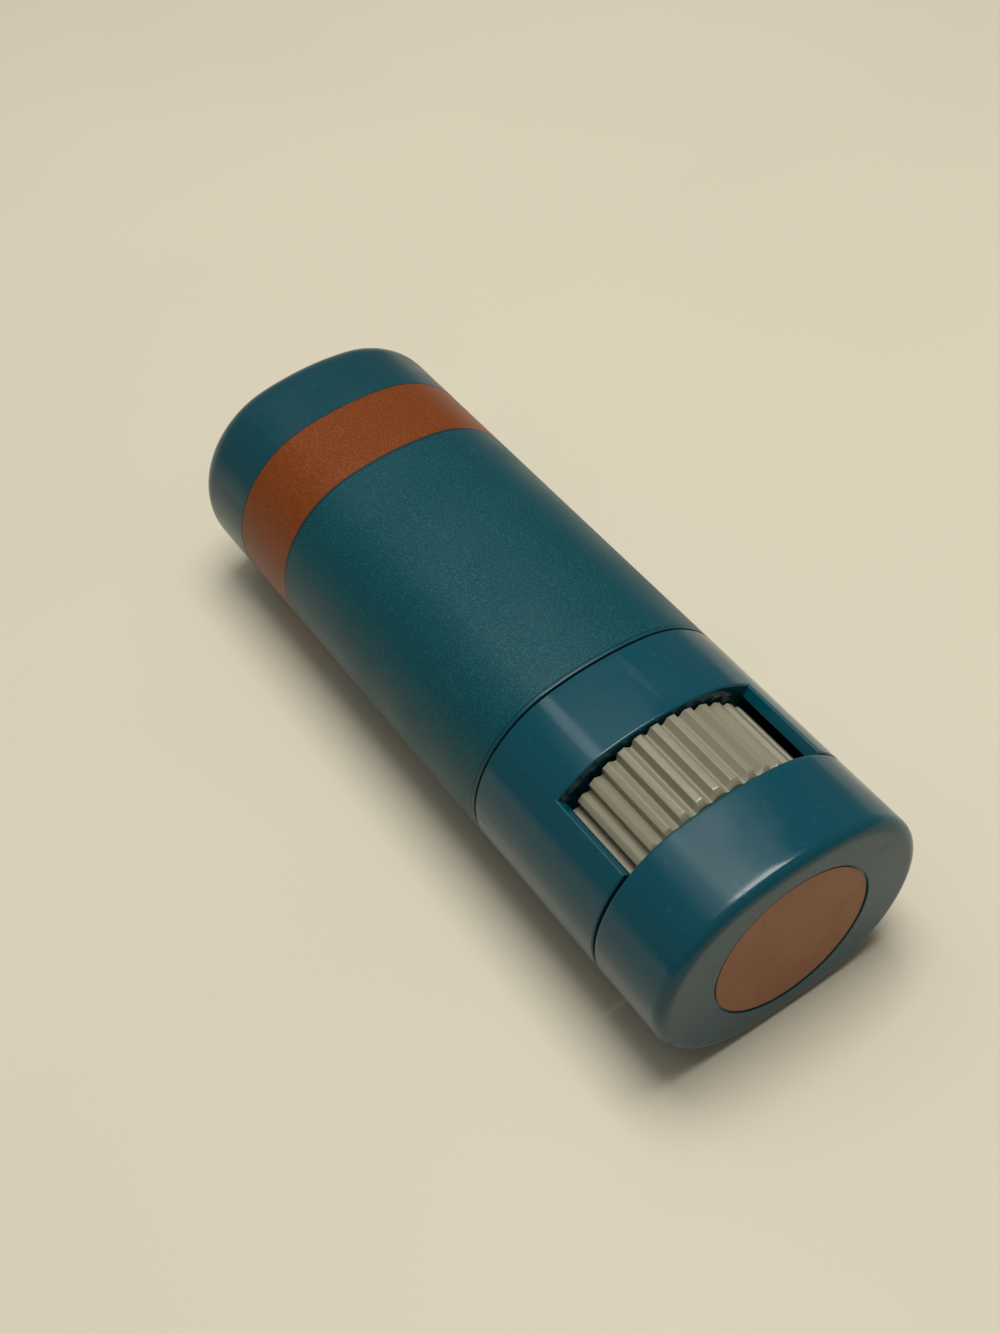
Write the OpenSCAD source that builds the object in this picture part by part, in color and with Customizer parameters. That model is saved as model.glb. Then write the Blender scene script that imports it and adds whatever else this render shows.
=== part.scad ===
// Dial-up balm stick with an oval section, lying on one broad face.
// The stick is written upright, with its closed base at height 0, then laid down:
// its length runs along X (base end at -X), its width along Y, its thickness along Z.

/* [Overall] */
// length of the closed stick
stick_length = 76; // [62:0.5:110]
// width of the oval across its rounded ends
stick_width = 26.6; // [23:0.1:34]
// thickness of the oval across its broad faces
stick_depth = 21.2; // [18:0.1:27]
// radius of the gently crowned broad faces
crown_radius = 27.88; // [22:0.01:60]

/* [Bottom cover] */
// height of the bottom cover
cover_height = 8.55; // [7:0.05:12]
// wall of the bottom cover
cover_wall = 1; // [0.8:0.05:1.4]
// floor of the bottom cover
cover_floor = 1.4; // [1:0.1:2]
// rounding of the cover's bottom edge
base_edge = 1.1; // [0.5:0.1:1.3]
// open shadow line between the cover and the housing
shadow_gap = 0.3; // [0.15:0.05:0.6]
// radius of the pivot pin that stands in the spindle's foot
pivot_radius = 1.45; // [1.2:0.05:1.8]

/* [Base sticker] */
// radius of the round sticker in the base
sticker_radius = 7.7; // [5:0.1:8]
// thickness of the round sticker
sticker_thickness = 0.12; // [0.08:0.01:0.2]
// depth of the recess that the sticker lies in
sticker_recess = 0.2; // [0.1:0.05:0.4]

/* [Housing] */
// height of the seam between the housing and the cap
seam_height = 25.6; // [23:0.1:32]
// wall of the housing
housing_wall = 1.2; // [1:0.05:1.5]
// width of each dial window, on the outside
window_width = 19.7; // [16:0.1:21]
// height of the window's upper edge
window_top = 18; // [16:0.1:22]
// thickness of the ledge above the windows that the barrel sits on
ledge_height = 0.8; // [0.6:0.1:1.5]
// reach of that ledge in from the housing's wall
ledge_reach = 3.3; // [1:0.1:3.6]
// thickness of the two tongues that hold the cover
tongue_thickness = 0.95; // [0.7:0.05:1]
// width of the two tongues
tongue_width = 6.4; // [4:0.2:9]

/* [Dial wheel] */
// gap between the ribs and the housing's wall at its rounded ends
wheel_clearance = 1.6; // [0.8:0.05:2.2]
// number of grip ribs round the wheel
rib_count = 38; // [30:2:60]
// depth of the grip ribs
rib_depth = 0.7; // [0.3:0.05:1]
// share of the rib pitch taken by the flat of a rib
rib_land = 0.4; // [0.3:0.05:0.6]
// thickness of the wheel's rim below the ribs
rim_wall = 2.2; // [1:0.1:3]
// turn of the ribs at rest, from one rib's middle facing straight up
rib_turn = -1.9; // [-4:0.1:4]
// height of the wheel
wheel_height = 8.5; // [5:0.1:9]
// chamfer on the base side of the ribs
rib_chamfer = 0.45; // [0.1:0.05:0.6]

/* [Screw] */
// radius of the spindle under its thread
screw_root = 2.4; // [2:0.1:3]
// radius of the spindle over its thread
screw_crest = 3.3; // [2.8:0.1:4]
// rise of the thread in one turn
screw_lead = 3; // [2:0.25:5]
// clearance between the thread and the nut
thread_clearance = 0.15; // [0.1:0.01:0.25]

/* [Carriage] */
// height of the nut under the carriage's plate
nut_drop = 5.2; // [4:0.1:7]
// thickness of the carriage's plate
plate_thickness = 1.2; // [0.8:0.1:2]
// height of the chimney above the plate
chimney_height = 4.3; // [2:0.1:6]
// distance of the plate from the barrel's rim when the balm is fully out
travel_stop = 2.3; // [1:0.1:6]

/* [Barrel] */
// wall of the barrel
barrel_wall = 1.15; // [0.9:0.05:1.5]
// floor of the barrel that carries the spindle
barrel_floor = 1.2; // [1:0.1:2]

/* [Balm] */
// gap between the balm's top and the cap's far wall
cap_headroom = 3.7; // [2:0.1:6]
// height of the balm's end above the barrel's rim
balm_overhang = 6; // [3:0.5:9]
// height of the balm's domed end
dome_height = 5.5; // [2:0.1:7]

/* [Cap] */
// wall of the cap
cap_wall = 1.3; // [1:0.05:1.6]
// rounding of the cap's far edge
cap_edge = 3; // [2:0.1:4]
// open line between the cap and the housing
cap_gap = 0.2; // [0.1:0.05:0.4]
// distance of the wrap label's far edge from the cap's far end
wrap_drop = 9.2; // [5:0.1:30]
// thickness of the wrap label
wrap_thickness = 0.13; // [0.08:0.01:0.2]

/* [Fits] */
// gap between the cap's inside and the barrel
cap_clearance = 0.25; // [0.15:0.05:0.4]
// gap between the balm or its carriage and the barrel
balm_clearance = 0.25; // [0.15:0.05:0.4]
// radial clearance of a turning pin in its hole
running_clearance = 0.05; // [0.02:0.01:0.1]
// gap between two fixed pieces that are pressed together
press_gap = 0.04; // [0.02:0.01:0.08]

/* [Hidden] */
$fn = 48;
turn_steps = 20;

half_w = stick_width / 2;
half_d = stick_depth / 2;
// Four arcs make the oval: two of end_r round the ends, two of crown_radius on the faces.
// They meet on the lines through (end_c, 0) and (0, -crown_c), at join_a from the X axis.
crown_c = crown_radius - half_d;
end_r = (crown_radius * crown_radius - half_w * half_w - crown_c * crown_c) / (2 * (crown_radius - half_w));
end_c = half_w - end_r;
join_a = atan2(crown_c, end_c);
// A swept ring reaches this far in from the outside, and a block fills what is left.
ring_depth = 6;
core_x = half_w - ring_depth + 0.65;
core_y = half_d - ring_depth + 0.45;
deep_ring = end_r - 0.8;
fill_x = half_w - deep_ring + 0.7;
fill_y = half_d - deep_ring + 0.55;

housing_bottom = cover_height + shadow_gap;
wheel_radius = half_w - housing_wall - wheel_clearance;
wheel_bottom = housing_bottom + 0.15;
wheel_top = wheel_bottom + wheel_height;
flange_radius = 4.6;
ledge_top = window_top + ledge_height;
floor_bottom = ledge_top + 0.2;
flange_top = floor_bottom - 0.2;
floor_top = floor_bottom + barrel_floor;
journal_radius = screw_root + 0.55;
clip_bottom = floor_top + 0.2;
clip_top = clip_bottom + 1.2;
carriage_bottom = clip_top + 0.7;
plate_bottom = carriage_bottom + nut_drop;
plate_top = plate_bottom + plate_thickness;
chimney_top = plate_top + chimney_height;
skirt_bottom = carriage_bottom + 2;
skirt_top = plate_top + 2.8;
balm_top = stick_length - cap_wall - cap_headroom;
barrel_top = balm_top - balm_overhang;
// height that the carriage climbs before its plate nears the barrel's rim
balm_travel = barrel_top - travel_stop - plate_top;
screw_top = carriage_bottom + balm_travel + 0.9 * nut_drop;
screw_slab = screw_crest + 1.7;
neck_inset = cap_wall + cap_clearance;
bore_inset = neck_inset + barrel_wall;
balm_inset = bore_inset + balm_clearance;
skirt_inset = balm_inset + 0.8;
// The window's side walls stand square to the oval, on lines through the end arcs' centres.
window_a = acos((window_width / 2 - end_c) / end_r);
cap_bottom = seam_height + cap_gap;
wrap_bottom = cap_bottom + 0.4;
wrap_top = stick_length - wrap_drop;
wrap_seat = wrap_thickness + 0.03;
hex_radius = 2.7;
chimney_radius = 4.4;
shank_bottom = wheel_bottom + 0.9;

// Sweeps a flat profile round the whole oval. In the profile, x is minus the distance
// in from the outside, and y is the height.
module oval_ring() {
  for (side = [0, 180]) {
    rotate([0, 0, side]) {
      translate([end_c, 0, 0])
        rotate_extrude(angle = 2 * join_a, start = -join_a)
          translate([end_r, 0]) children();
      translate([0, -crown_c, 0])
        rotate_extrude(angle = 180 - 2 * join_a, start = join_a)
          translate([crown_radius, 0]) children();
    }
  }
}

module core_block(low, high) {
  translate([-core_x, -core_y, low]) cube([2 * core_x, 2 * core_y, high - low]);
}

module quarter_disc(r, fn) {
  intersection() {
    circle(r = r, $fn = fn);
    square([r, r]);
  }
}

// The upright stick is turned so that its axis lies along X, resting on its lower side.
module lay_down() {
  translate([-stick_length / 2, 0, max(wheel_radius, half_d)]) rotate([90, 0, 90]) children();
}

module bottom_cover() {
  lip = 0.2;
  groove_low = cover_height - 4.4;
  groove_high = groove_low + 1.3;
  color([0.0, 0.28, 0.35]) lay_down() difference() {
    union() {
      oval_ring() {
        union() {
          polygon([
            [-ring_depth, 0], [-base_edge, 0], [-base_edge, base_edge], [0, base_edge],
            [0, cover_height - lip], [-lip, cover_height], [-cover_wall, cover_height],
            [-cover_wall, groove_high], [-cover_wall + 0.3, groove_high - 0.3],
            [-cover_wall + 0.3, groove_low + 0.3], [-cover_wall, groove_low],
            [-cover_wall, cover_floor], [-ring_depth, cover_floor]
          ]);
          translate([-base_edge, base_edge]) rotate(-90) quarter_disc(base_edge, 24);
        }
      }
      core_block(0, cover_floor);
      // Post and pivot pin that carry the wheel and the spindle's foot.
      cylinder(r = 3.4, h = wheel_bottom - 0.15 + 0.05);
      cylinder(r = pivot_radius, h = shank_bottom + 2.4);
      // Stiffening webs from the post to the wall.
      for (a = [35, 145, 215, 325]) {
        rotate([0, 0, a]) translate([2.5, -0.4, 0.5]) cube([6.2, 0.8, 4]);
      }
    }
    translate([0, 0, -1]) cylinder(r = sticker_radius + 0.2, h = 1 + sticker_recess);
  }
}

module base_sticker() {
  color([0.42, 0.24, 0.16]) lay_down()
    translate([0, 0, sticker_recess - sticker_thickness]) cylinder(r = sticker_radius, h = sticker_thickness);
}

module housing() {
  lip = 0.2;
  rim_lip = 0.12;
  tongue_face = cover_wall + 0.05;
  tongue_back = tongue_face + tongue_thickness;
  tongue_low = cover_height - 5.2;
  bead_low = cover_height - 4.2;
  root_back = housing_wall + 0.35;
  bead_height = floor_bottom + 3.2;
  color([0.0, 0.27, 0.34]) lay_down() {
    difference() {
      oval_ring() {
        polygon([
          [0, housing_bottom + lip], [0, seam_height - rim_lip], [-rim_lip, seam_height],
          [-housing_wall, seam_height], [-housing_wall, bead_height + 0.65],
          [-housing_wall + 0.2, bead_height + 0.45], [-housing_wall + 0.2, bead_height - 0.45],
          [-housing_wall, bead_height - 0.65], [-housing_wall, ledge_top],
          [-housing_wall - ledge_reach, ledge_top], [-housing_wall - ledge_reach, window_top],
          [-housing_wall, window_top], [-housing_wall, housing_bottom], [-lip, housing_bottom]
        ]);
      }
      for (side = [0, 180]) {
        rotate([0, 0, side]) linear_extrude(height = window_top)
          polygon([
            [-end_c, 0], [end_c, 0],
            [end_c + 2 * end_r * cos(window_a), 2 * end_r * sin(window_a)],
            [-end_c - 2 * end_r * cos(window_a), 2 * end_r * sin(window_a)]
          ]);
      }
    }
    // Two tongues reach down into the cover, each with a snap bead.
    intersection() {
      oval_ring() {
        polygon([
          [-tongue_face, tongue_low + 0.3], [-tongue_face - 0.3, tongue_low], [-tongue_back, tongue_low],
          [-tongue_back, cover_height - 0.2], [-root_back, cover_height + 0.2],
          [-root_back, cover_height + 4.5], [-tongue_face, cover_height + 5.2],
          [-tongue_face, bead_low + 0.8], [-tongue_face + 0.2, bead_low + 0.6],
          [-tongue_face + 0.2, bead_low + 0.3], [-tongue_face, bead_low]
        ]);
      }
      translate([-stick_width, -tongue_width / 2, 0]) cube([2 * stick_width, tongue_width, seam_height]);
    }
  }
}

module rib_outline() {
  pitch = 360 / rib_count;
  root_r = wheel_radius - rib_depth;
  over_r = wheel_radius + 0.4;
  land = pitch * rib_land / 2;
  flank = pitch * (0.5 - rib_land / 2) * 0.8;
  // The flank runs on past the rib's top at the same slope, and is trimmed by a cylinder.
  over = land - flank * 0.4 / rib_depth;
  polygon([
    for (i = [0:rib_count - 1])
      let (a = 90 + rib_turn + i * pitch)
        each [
          [root_r * cos(a - land - flank), root_r * sin(a - land - flank)],
          [over_r * cos(a - over), over_r * sin(a - over)],
          [over_r * cos(a + over), over_r * sin(a + over)],
          [root_r * cos(a + land + flank), root_r * sin(a + land + flank)]
        ]
  ]);
}

module dial_wheel() {
  rim_inner = wheel_radius - rib_depth - rim_wall;
  hub_radius = 4.1;
  web_bottom = wheel_top - 1.2;
  color([0.55, 0.53, 0.49]) lay_down() {
    difference() {
      intersection() {
        translate([0, 0, wheel_bottom]) linear_extrude(height = wheel_height) rib_outline();
        rotate_extrude($fn = 4 * rib_count)
          polygon([
            [0, wheel_bottom], [wheel_radius - rib_chamfer, wheel_bottom],
            [wheel_radius, wheel_bottom + rib_chamfer], [wheel_radius, wheel_top - 0.12],
            [wheel_radius - 0.12, wheel_top], [0, wheel_top]
          ]);
      }
      difference() {
        translate([0, 0, wheel_bottom - 1]) cylinder(r = rim_inner, h = web_bottom - wheel_bottom + 1);
        translate([0, 0, wheel_bottom - 2]) cylinder(r = hub_radius, h = wheel_height);
        for (a = [0:60:300]) {
          rotate([0, 0, a]) translate([hub_radius - 0.5, -0.45, wheel_bottom + 2.5])
            cube([rim_inner, 0.9, wheel_height]);
        }
      }
      translate([0, 0, wheel_bottom - 1]) cylinder(r = 3.6, h = 1.25);
      translate([0, 0, wheel_bottom - 1]) cylinder(r = hex_radius + press_gap, h = wheel_height + 2, $fn = 6);
    }
  }
}

// A solid screw: the thread's ridge and the root between its turns wind up from height 0
// as one closed skin, which two fans of triangles close at the ends.
module screw_solid(root_r, crest_r, root_w, crest_w, turns) {
  n = ceil(turns) * turn_steps;
  ring = [[root_r, -root_w / 2], [crest_r, -crest_w / 2], [crest_r, crest_w / 2], [root_r, root_w / 2]];
  points = concat(
    [
      for (i = [0:n])
        let (a = i * 360 / turn_steps, z = i * screw_lead / turn_steps)
          each [for (p = ring) [p[0] * cos(a), p[0] * sin(a), z + p[1]]]
    ],
    [
      [0, 0, (screw_lead - root_w) / 2],
      [0, 0, n * screw_lead / turn_steps - (screw_lead - root_w) / 2]
    ]
  );
  foot = 4 * (n + 1);
  head = foot + 1;
  last = 4 * n;
  ridge_faces = [
    for (i = [0:n - 1], j = [0:2])
      let (b = 4 * i + j)
        each [[b, b + 1, b + 5], [b, b + 5, b + 4]]
  ];
  root_faces = [
    for (i = [0:n - turn_steps - 1])
      let (b = 4 * i + 3, c = 4 * (i + turn_steps))
        each [[b, c, c + 4], [b, c + 4, b + 4]]
  ];
  foot_faces = concat(
    [for (i = [0:turn_steps - 1]) [foot, 4 * i, 4 * i + 4]],
    [[foot, 4 * turn_steps, 3], [foot, 3, 2], [foot, 2, 1], [foot, 1, 0]]
  );
  head_faces = concat(
    [for (i = [n - turn_steps:n - 1]) [head, 4 * i + 7, 4 * i + 3]],
    [
      [head, last - 4 * turn_steps + 3, last], [head, last, last + 1],
      [head, last + 1, last + 2], [head, last + 2, last + 3]
    ]
  );
  polyhedron(points = points, faces = concat(ridge_faces, root_faces, foot_faces, head_faces), convexity = 20);
}

module spindle() {
  thread_low = clip_top - 0.6;
  turns = (screw_top - floor_bottom) / screw_lead + 3;
  color([0.86, 0.86, 0.83]) lay_down() {
    difference() {
      union() {
        translate([0, 0, shank_bottom]) cylinder(r = hex_radius, h = wheel_top - shank_bottom + 0.2, $fn = 6);
        translate([0, 0, wheel_top]) cylinder(r = flange_radius, h = flange_top - wheel_top);
        translate([0, 0, wheel_top]) cylinder(r = journal_radius, h = clip_bottom - wheel_top + 0.3);
        // Snap ring that keeps the spindle in the barrel's floor.
        translate([0, 0, clip_bottom]) rotate_extrude()
          polygon([
            [0, 0], [screw_crest + 0.35, 0], [screw_crest + 0.35, 0.4],
            [screw_crest + 0.1, clip_top - clip_bottom], [0, clip_top - clip_bottom]
          ]);
        intersection() {
          translate([0, 0, floor_bottom - screw_lead]) screw_solid(screw_root, screw_crest, 1.5, 0.8, turns);
          translate([-screw_slab, -screw_slab, thread_low])
            cube([2 * screw_slab, 2 * screw_slab, screw_top - thread_low]);
        }
      }
      translate([0, 0, shank_bottom - 1]) cylinder(r = pivot_radius + running_clearance, h = 1 + 2.8);
    }
  }
}

module barrel() {
  lip = 0.3;
  bead_height = floor_bottom + 3.2;
  seat_inset = housing_wall + press_gap;
  snap_height = cap_bottom + 3;
  color([0.9, 0.9, 0.87]) lay_down() difference() {
    union() {
      oval_ring() {
        polygon([
          [-ring_depth, floor_bottom], [-seat_inset, floor_bottom],
          [-seat_inset, bead_height - 0.5], [-seat_inset + 0.15, bead_height - 0.35],
          [-seat_inset + 0.15, bead_height + 0.35], [-seat_inset, bead_height + 0.5],
          [-seat_inset, seam_height - 0.3], [-neck_inset, seam_height - 0.3],
          [-neck_inset, snap_height - 0.6], [-cap_wall - running_clearance, snap_height - 0.3],
          [-cap_wall - running_clearance, snap_height + 0.3], [-neck_inset, snap_height + 0.6],
          [-neck_inset, barrel_top - lip], [-neck_inset - lip, barrel_top],
          [-bore_inset + lip, barrel_top], [-bore_inset, barrel_top - lip],
          [-bore_inset, floor_top], [-ring_depth, floor_top]
        ]);
      }
      core_block(floor_bottom, floor_top);
    }
    translate([0, 0, floor_bottom - 1]) cylinder(r = journal_radius + running_clearance, h = barrel_floor + 2);
  }
}

module carriage() {
  boss_radius = 4.9;
  color([0.88, 0.88, 0.85]) lay_down() difference() {
    union() {
      oval_ring() {
        polygon([
          [-ring_depth, plate_bottom], [-skirt_inset, plate_bottom], [-skirt_inset, skirt_bottom],
          [-balm_inset - 0.2, skirt_bottom], [-balm_inset, skirt_bottom + 0.2],
          [-balm_inset, skirt_top - 0.2], [-balm_inset - 0.2, skirt_top],
          [-skirt_inset, skirt_top], [-skirt_inset, plate_top], [-ring_depth, plate_top]
        ]);
      }
      core_block(plate_bottom, plate_top);
      translate([0, 0, carriage_bottom]) cylinder(r = boss_radius, h = nut_drop + 0.5);
      translate([0, 0, plate_bottom + 0.2]) cylinder(r = chimney_radius, h = chimney_top - plate_bottom - 0.2);
      // Webs that brace the nut under the plate.
      for (a = [0, 180]) {
        rotate([0, 0, a]) translate([boss_radius - 0.6, -0.5, carriage_bottom + 2.6])
          cube([half_w - skirt_inset - boss_radius + 1, 1, 3]);
      }
    }
    intersection() {
      translate([0, 0, floor_bottom - screw_lead])
        screw_solid(
          screw_root + thread_clearance, screw_crest + thread_clearance,
          1.5 + 2 * thread_clearance, 0.8 + 2 * thread_clearance, 6
        );
      translate([-screw_slab, -screw_slab, carriage_bottom - 0.5])
        cube([2 * screw_slab, 2 * screw_slab, plate_top - carriage_bottom + 0.5]);
    }
    translate([0, 0, plate_top - 0.1]) cylinder(r = screw_crest + 0.3, h = chimney_top);
    // Holes through which the poured balm keys to the plate.
    for (x = [-1, 1], y = [-1, 1]) {
      translate([x * (half_w - 6.9), y * (half_d - 7.4), plate_bottom - 1])
        cylinder(r = 0.9, h = plate_thickness + 2);
    }
  }
}

module balm() {
  seat = plate_top + 0.02;
  side = balm_inset;
  shoulder = balm_top - dome_height;
  flat = min(deep_ring - 1.4, side + 5.1);
  color([0.72, 0.47, 0.33]) lay_down() difference() {
    union() {
      oval_ring() {
        polygon(concat(
          [
            [-deep_ring, seat], [-skirt_inset - 0.02, seat], [-skirt_inset - 0.02, skirt_top + 0.02],
            [-side, skirt_top + 0.02]
          ],
          [for (a = [0:10:90]) [-flat + (flat - side) * cos(a), shoulder + dome_height * sin(a)]],
          [[-deep_ring, balm_top]]
        ));
      }
      translate([-fill_x, -fill_y, seat]) cube([2 * fill_x, 2 * fill_y, balm_top - seat]);
    }
    translate([0, 0, seat - 1]) cylinder(r = chimney_radius + 0.02, h = chimney_top + 0.02 - seat + 1);
    translate([0, 0, seat]) cylinder(r = screw_crest + 0.3, h = screw_top + 1.2 - seat);
  }
}

module cap() {
  inner_edge = cap_edge - cap_wall;
  lip = 0.12;
  groove_height = cap_bottom + 3;
  color([0.0, 0.27, 0.34]) lay_down() {
    oval_ring() {
      union() {
        polygon([
          [-cap_wall, cap_bottom + 0.3], [-cap_wall + 0.3, cap_bottom], [-lip, cap_bottom],
          [0, cap_bottom + lip], [0, wrap_bottom - 0.03], [-wrap_seat, wrap_bottom - 0.03],
          [-wrap_seat, wrap_top + 0.03], [0, wrap_top + 0.03], [0, stick_length - cap_edge],
          [-cap_wall, stick_length - cap_edge], [-cap_wall, groove_height + 0.9],
          [-cap_wall + 0.25, groove_height + 0.6], [-cap_wall + 0.25, groove_height - 0.6],
          [-cap_wall, groove_height - 0.9]
        ]);
        translate([-cap_edge, stick_length - cap_edge]) difference() {
          quarter_disc(cap_edge, 40);
          circle(r = inner_edge, $fn = 32);
        }
        translate([-ring_depth, stick_length - cap_wall]) square([ring_depth - cap_edge, cap_wall]);
      }
    }
    core_block(stick_length - cap_wall, stick_length);
  }
}

module cap_wrap() {
  color([0.05, 0.3, 0.36]) lay_down() difference() {
    oval_ring() {
      translate([-wrap_thickness - 0.01, wrap_bottom]) square([wrap_thickness, wrap_top - wrap_bottom]);
    }
    // Butt joint of the label, along one rounded end.
    translate([-half_w - 1, -0.2, wrap_bottom - 1]) cube([3, 0.4, wrap_top - wrap_bottom + 2]);
  }
}

bottom_cover();
base_sticker();
housing();
dial_wheel();
spindle();
barrel();
carriage();
balm();
cap();
cap_wrap();
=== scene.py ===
import math

import bmesh
import bpy
from mathutils import Matrix, Vector


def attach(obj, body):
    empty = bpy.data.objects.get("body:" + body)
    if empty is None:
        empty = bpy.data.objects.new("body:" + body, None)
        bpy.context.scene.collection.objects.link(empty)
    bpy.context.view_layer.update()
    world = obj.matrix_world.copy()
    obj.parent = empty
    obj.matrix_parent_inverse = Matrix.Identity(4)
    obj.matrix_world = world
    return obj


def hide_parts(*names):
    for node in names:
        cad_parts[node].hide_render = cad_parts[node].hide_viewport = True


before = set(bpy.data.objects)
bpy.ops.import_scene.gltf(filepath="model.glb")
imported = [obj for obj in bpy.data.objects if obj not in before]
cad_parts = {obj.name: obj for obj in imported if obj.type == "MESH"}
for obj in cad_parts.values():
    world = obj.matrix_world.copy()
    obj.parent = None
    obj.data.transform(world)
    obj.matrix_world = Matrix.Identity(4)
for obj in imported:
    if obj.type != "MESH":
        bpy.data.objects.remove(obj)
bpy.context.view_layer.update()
print("frame loaded")

mm = 0.001

# The oval section: four arcs that meet on shared normals, in mm.
oval = {
    "endCentre": 2.95,
    "endRadius": 10.35,
    "crownCentre": 17.28,
    "crownRadius": 27.88,
    "axisHeight": 10.6,
    "baseX": -38.0,
    "windowHalf": 9.85,  # half width of the dial windows on the outside
    "innerInset": 6,  # a floor's profile stops here, and rings or a face close the rest
    "windowSteps": 24,  # from the middle of a rounded end to a window's edge
    "flankSteps": 14,  # from there to the crowned face
    "crownSteps": 16,
    "merge": 0.002,  # points nearer than this become one
}
axisZ = oval["axisHeight"] * mm
joinAngle = math.atan2(oval["crownCentre"], oval["endCentre"])
windowAngle = math.acos((oval["windowHalf"] - oval["endCentre"]) / oval["endRadius"])


# helpers that every piece uses


def height(h):
    return (oval["baseX"] + h) * mm  # height above the closed base, as a place along X


def arc(centre, radius, start, end, steps):
    points = []
    for i in range(steps + 1):
        a = math.radians(start + (end - start) * i / steps)
        points.append((centre[0] + radius * math.cos(a), centre[1] + radius * math.sin(a)))
    return points


def vertsIn(geom):
    return [g for g in geom if isinstance(g, bmesh.types.BMVert)]


def openEdgesIn(geom):
    return [g for g in geom if isinstance(g, bmesh.types.BMEdge) and g.is_boundary]


def insetOf(place):
    # distance in from the oval's outside, in mm
    y = abs(place.y) / mm
    z = abs(place.z - axisZ) / mm
    if y > oval["endCentre"] and math.atan2(z, y - oval["endCentre"]) < joinAngle:
        return oval["endRadius"] - math.hypot(y - oval["endCentre"], z)
    return oval["crownRadius"] - math.hypot(y, z + oval["crownCentre"])


def layProfile(bm, profile, side=1, closed=False):
    # profile: (distance in from the outside, height) in mm, laid in the middle of a rounded end
    verts = []
    for inset, h in profile:
        y = side * (oval["endCentre"] + oval["endRadius"] - inset) * mm
        verts.append(bm.verts.new((height(h), y, axisZ)))
    edges = [bm.edges.new((verts[i], verts[i + 1])) for i in range(len(verts) - 1)]
    if closed:
        edges.append(bm.edges.new((verts[-1], verts[0])))
    return verts, edges


def sweepStages(side):
    # centres (Y, Z), angles and steps of the arcs, from the middle of one rounded end
    end = side * oval["endCentre"]
    crown = side * oval["crownCentre"]
    windowSteps = oval["windowSteps"]
    flank = (joinAngle - windowAngle, oval["flankSteps"])
    face = (math.pi - 2 * joinAngle, oval["crownSteps"])
    return [
        (end, 0, windowAngle, windowSteps), (end, 0, *flank), (0, -crown, *face),
        (-end, 0, *flank), (-end, 0, 2 * windowAngle, 2 * windowSteps), (-end, 0, *flank),
        (0, crown, *face), (end, 0, *flank), (end, 0, windowAngle, windowSteps),
    ]


def sweepOval(bm, profile, closed=False, side=1, slit=0.0):
    # sweeps a profile round the whole oval, or leaves a narrow slit where it would meet itself
    verts, edges = layProfile(bm, profile, side, closed)
    stages = sweepStages(side)
    half = slit / 2 / oval["endRadius"]
    if slit:
        pivot = Vector((0, stages[0][0] * mm, axisZ))
        bmesh.ops.rotate(bm, cent=pivot, matrix=Matrix.Rotation(half, 3, "X"), verts=verts)
    geom = verts + edges
    for number, (y, z, angle, steps) in enumerate(stages):
        if number in (0, len(stages) - 1):
            angle -= half
        result = bmesh.ops.spin(
            bm, geom=geom, cent=(0, y * mm, axisZ + z * mm), axis=(1, 0, 0),
            angle=angle, steps=steps, use_merge=False, use_duplicate=False,
        )
        geom = result["geom_last"]
    if slit:
        for section in (verts, vertsIn(geom)):
            loop = [e for v in section for e in v.link_edges if e.other_vert(v) in section]
            bmesh.ops.contextual_create(bm, geom=list(dict.fromkeys(loop)))
    bmesh.ops.remove_doubles(bm, verts=bm.verts, dist=oval["merge"] * mm)


def openLoops(bm):
    # loops of boundary edges, from the lowest to the highest
    left = dict.fromkeys(e for e in bm.edges if e.is_boundary)
    loops = []
    while left:
        stack = [left.popitem()[0]]
        loop = []
        while stack:
            edge = stack.pop()
            loop.append(edge)
            for other in [e for v in edge.verts for e in v.link_edges]:
                if other in left:
                    del left[other]
                    stack.append(other)
        loops.append(loop)
    return sorted(loops, key=lambda loop: sum(v.co.x for e in loop for v in e.verts) / len(loop))


def ringTo(bm, loop, radius, h):
    # extrudes an open loop to a circle round the stick's axis, or to an outline by angle
    made = bmesh.ops.extrude_edge_only(bm, edges=loop)["geom"]
    for v in vertsIn(made):
        a = math.atan2(v.co.z - axisZ, v.co.y)
        r = (radius(a) if callable(radius) else radius) * mm
        v.co = (height(h), r * math.cos(a), axisZ + r * math.sin(a))
    return openEdgesIn(made)


def ringsTo(bm, loop, rings):
    for radius, h in rings:
        loop = ringTo(bm, loop, radius, h)
    return loop


def hexagon(cornerRadius):
    sixth = math.radians(60)

    def radius(a):
        return cornerRadius * math.cos(sixth / 2) / math.cos(a % sixth - sixth / 2)
    return radius


def roundEdges(bm, edges, width, segments):
    bmesh.ops.bevel(
        bm, geom=edges, offset=width * mm, offset_type="OFFSET", segments=segments, profile=0.5,
        affect="EDGES", material=-1, clamp_overlap=True,
    )


def objectFrom(name, bm):
    mesh = bpy.data.meshes.new(name)
    bm.to_mesh(mesh)
    bm.free()
    item = bpy.data.objects.new(name, mesh)
    bpy.context.scene.collection.objects.link(item)
    return item


def finishPiece(name, bm, material, body, nodes=(), sharp=38):
    # sharp: edges that turn more than this many degrees stay crisp
    bmesh.ops.recalc_face_normals(bm, faces=bm.faces)
    piece = objectFrom(name, bm)
    piece.data.shade_smooth()
    piece.data.set_sharp_from_angle(angle=math.radians(sharp))
    weighted = piece.modifiers.new("faceWeightedNormals", "WEIGHTED_NORMAL")
    weighted.keep_sharp = True
    piece.data.materials.append(material)
    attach(piece, body)
    if nodes:
        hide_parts(*nodes)


# shader groups


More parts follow.
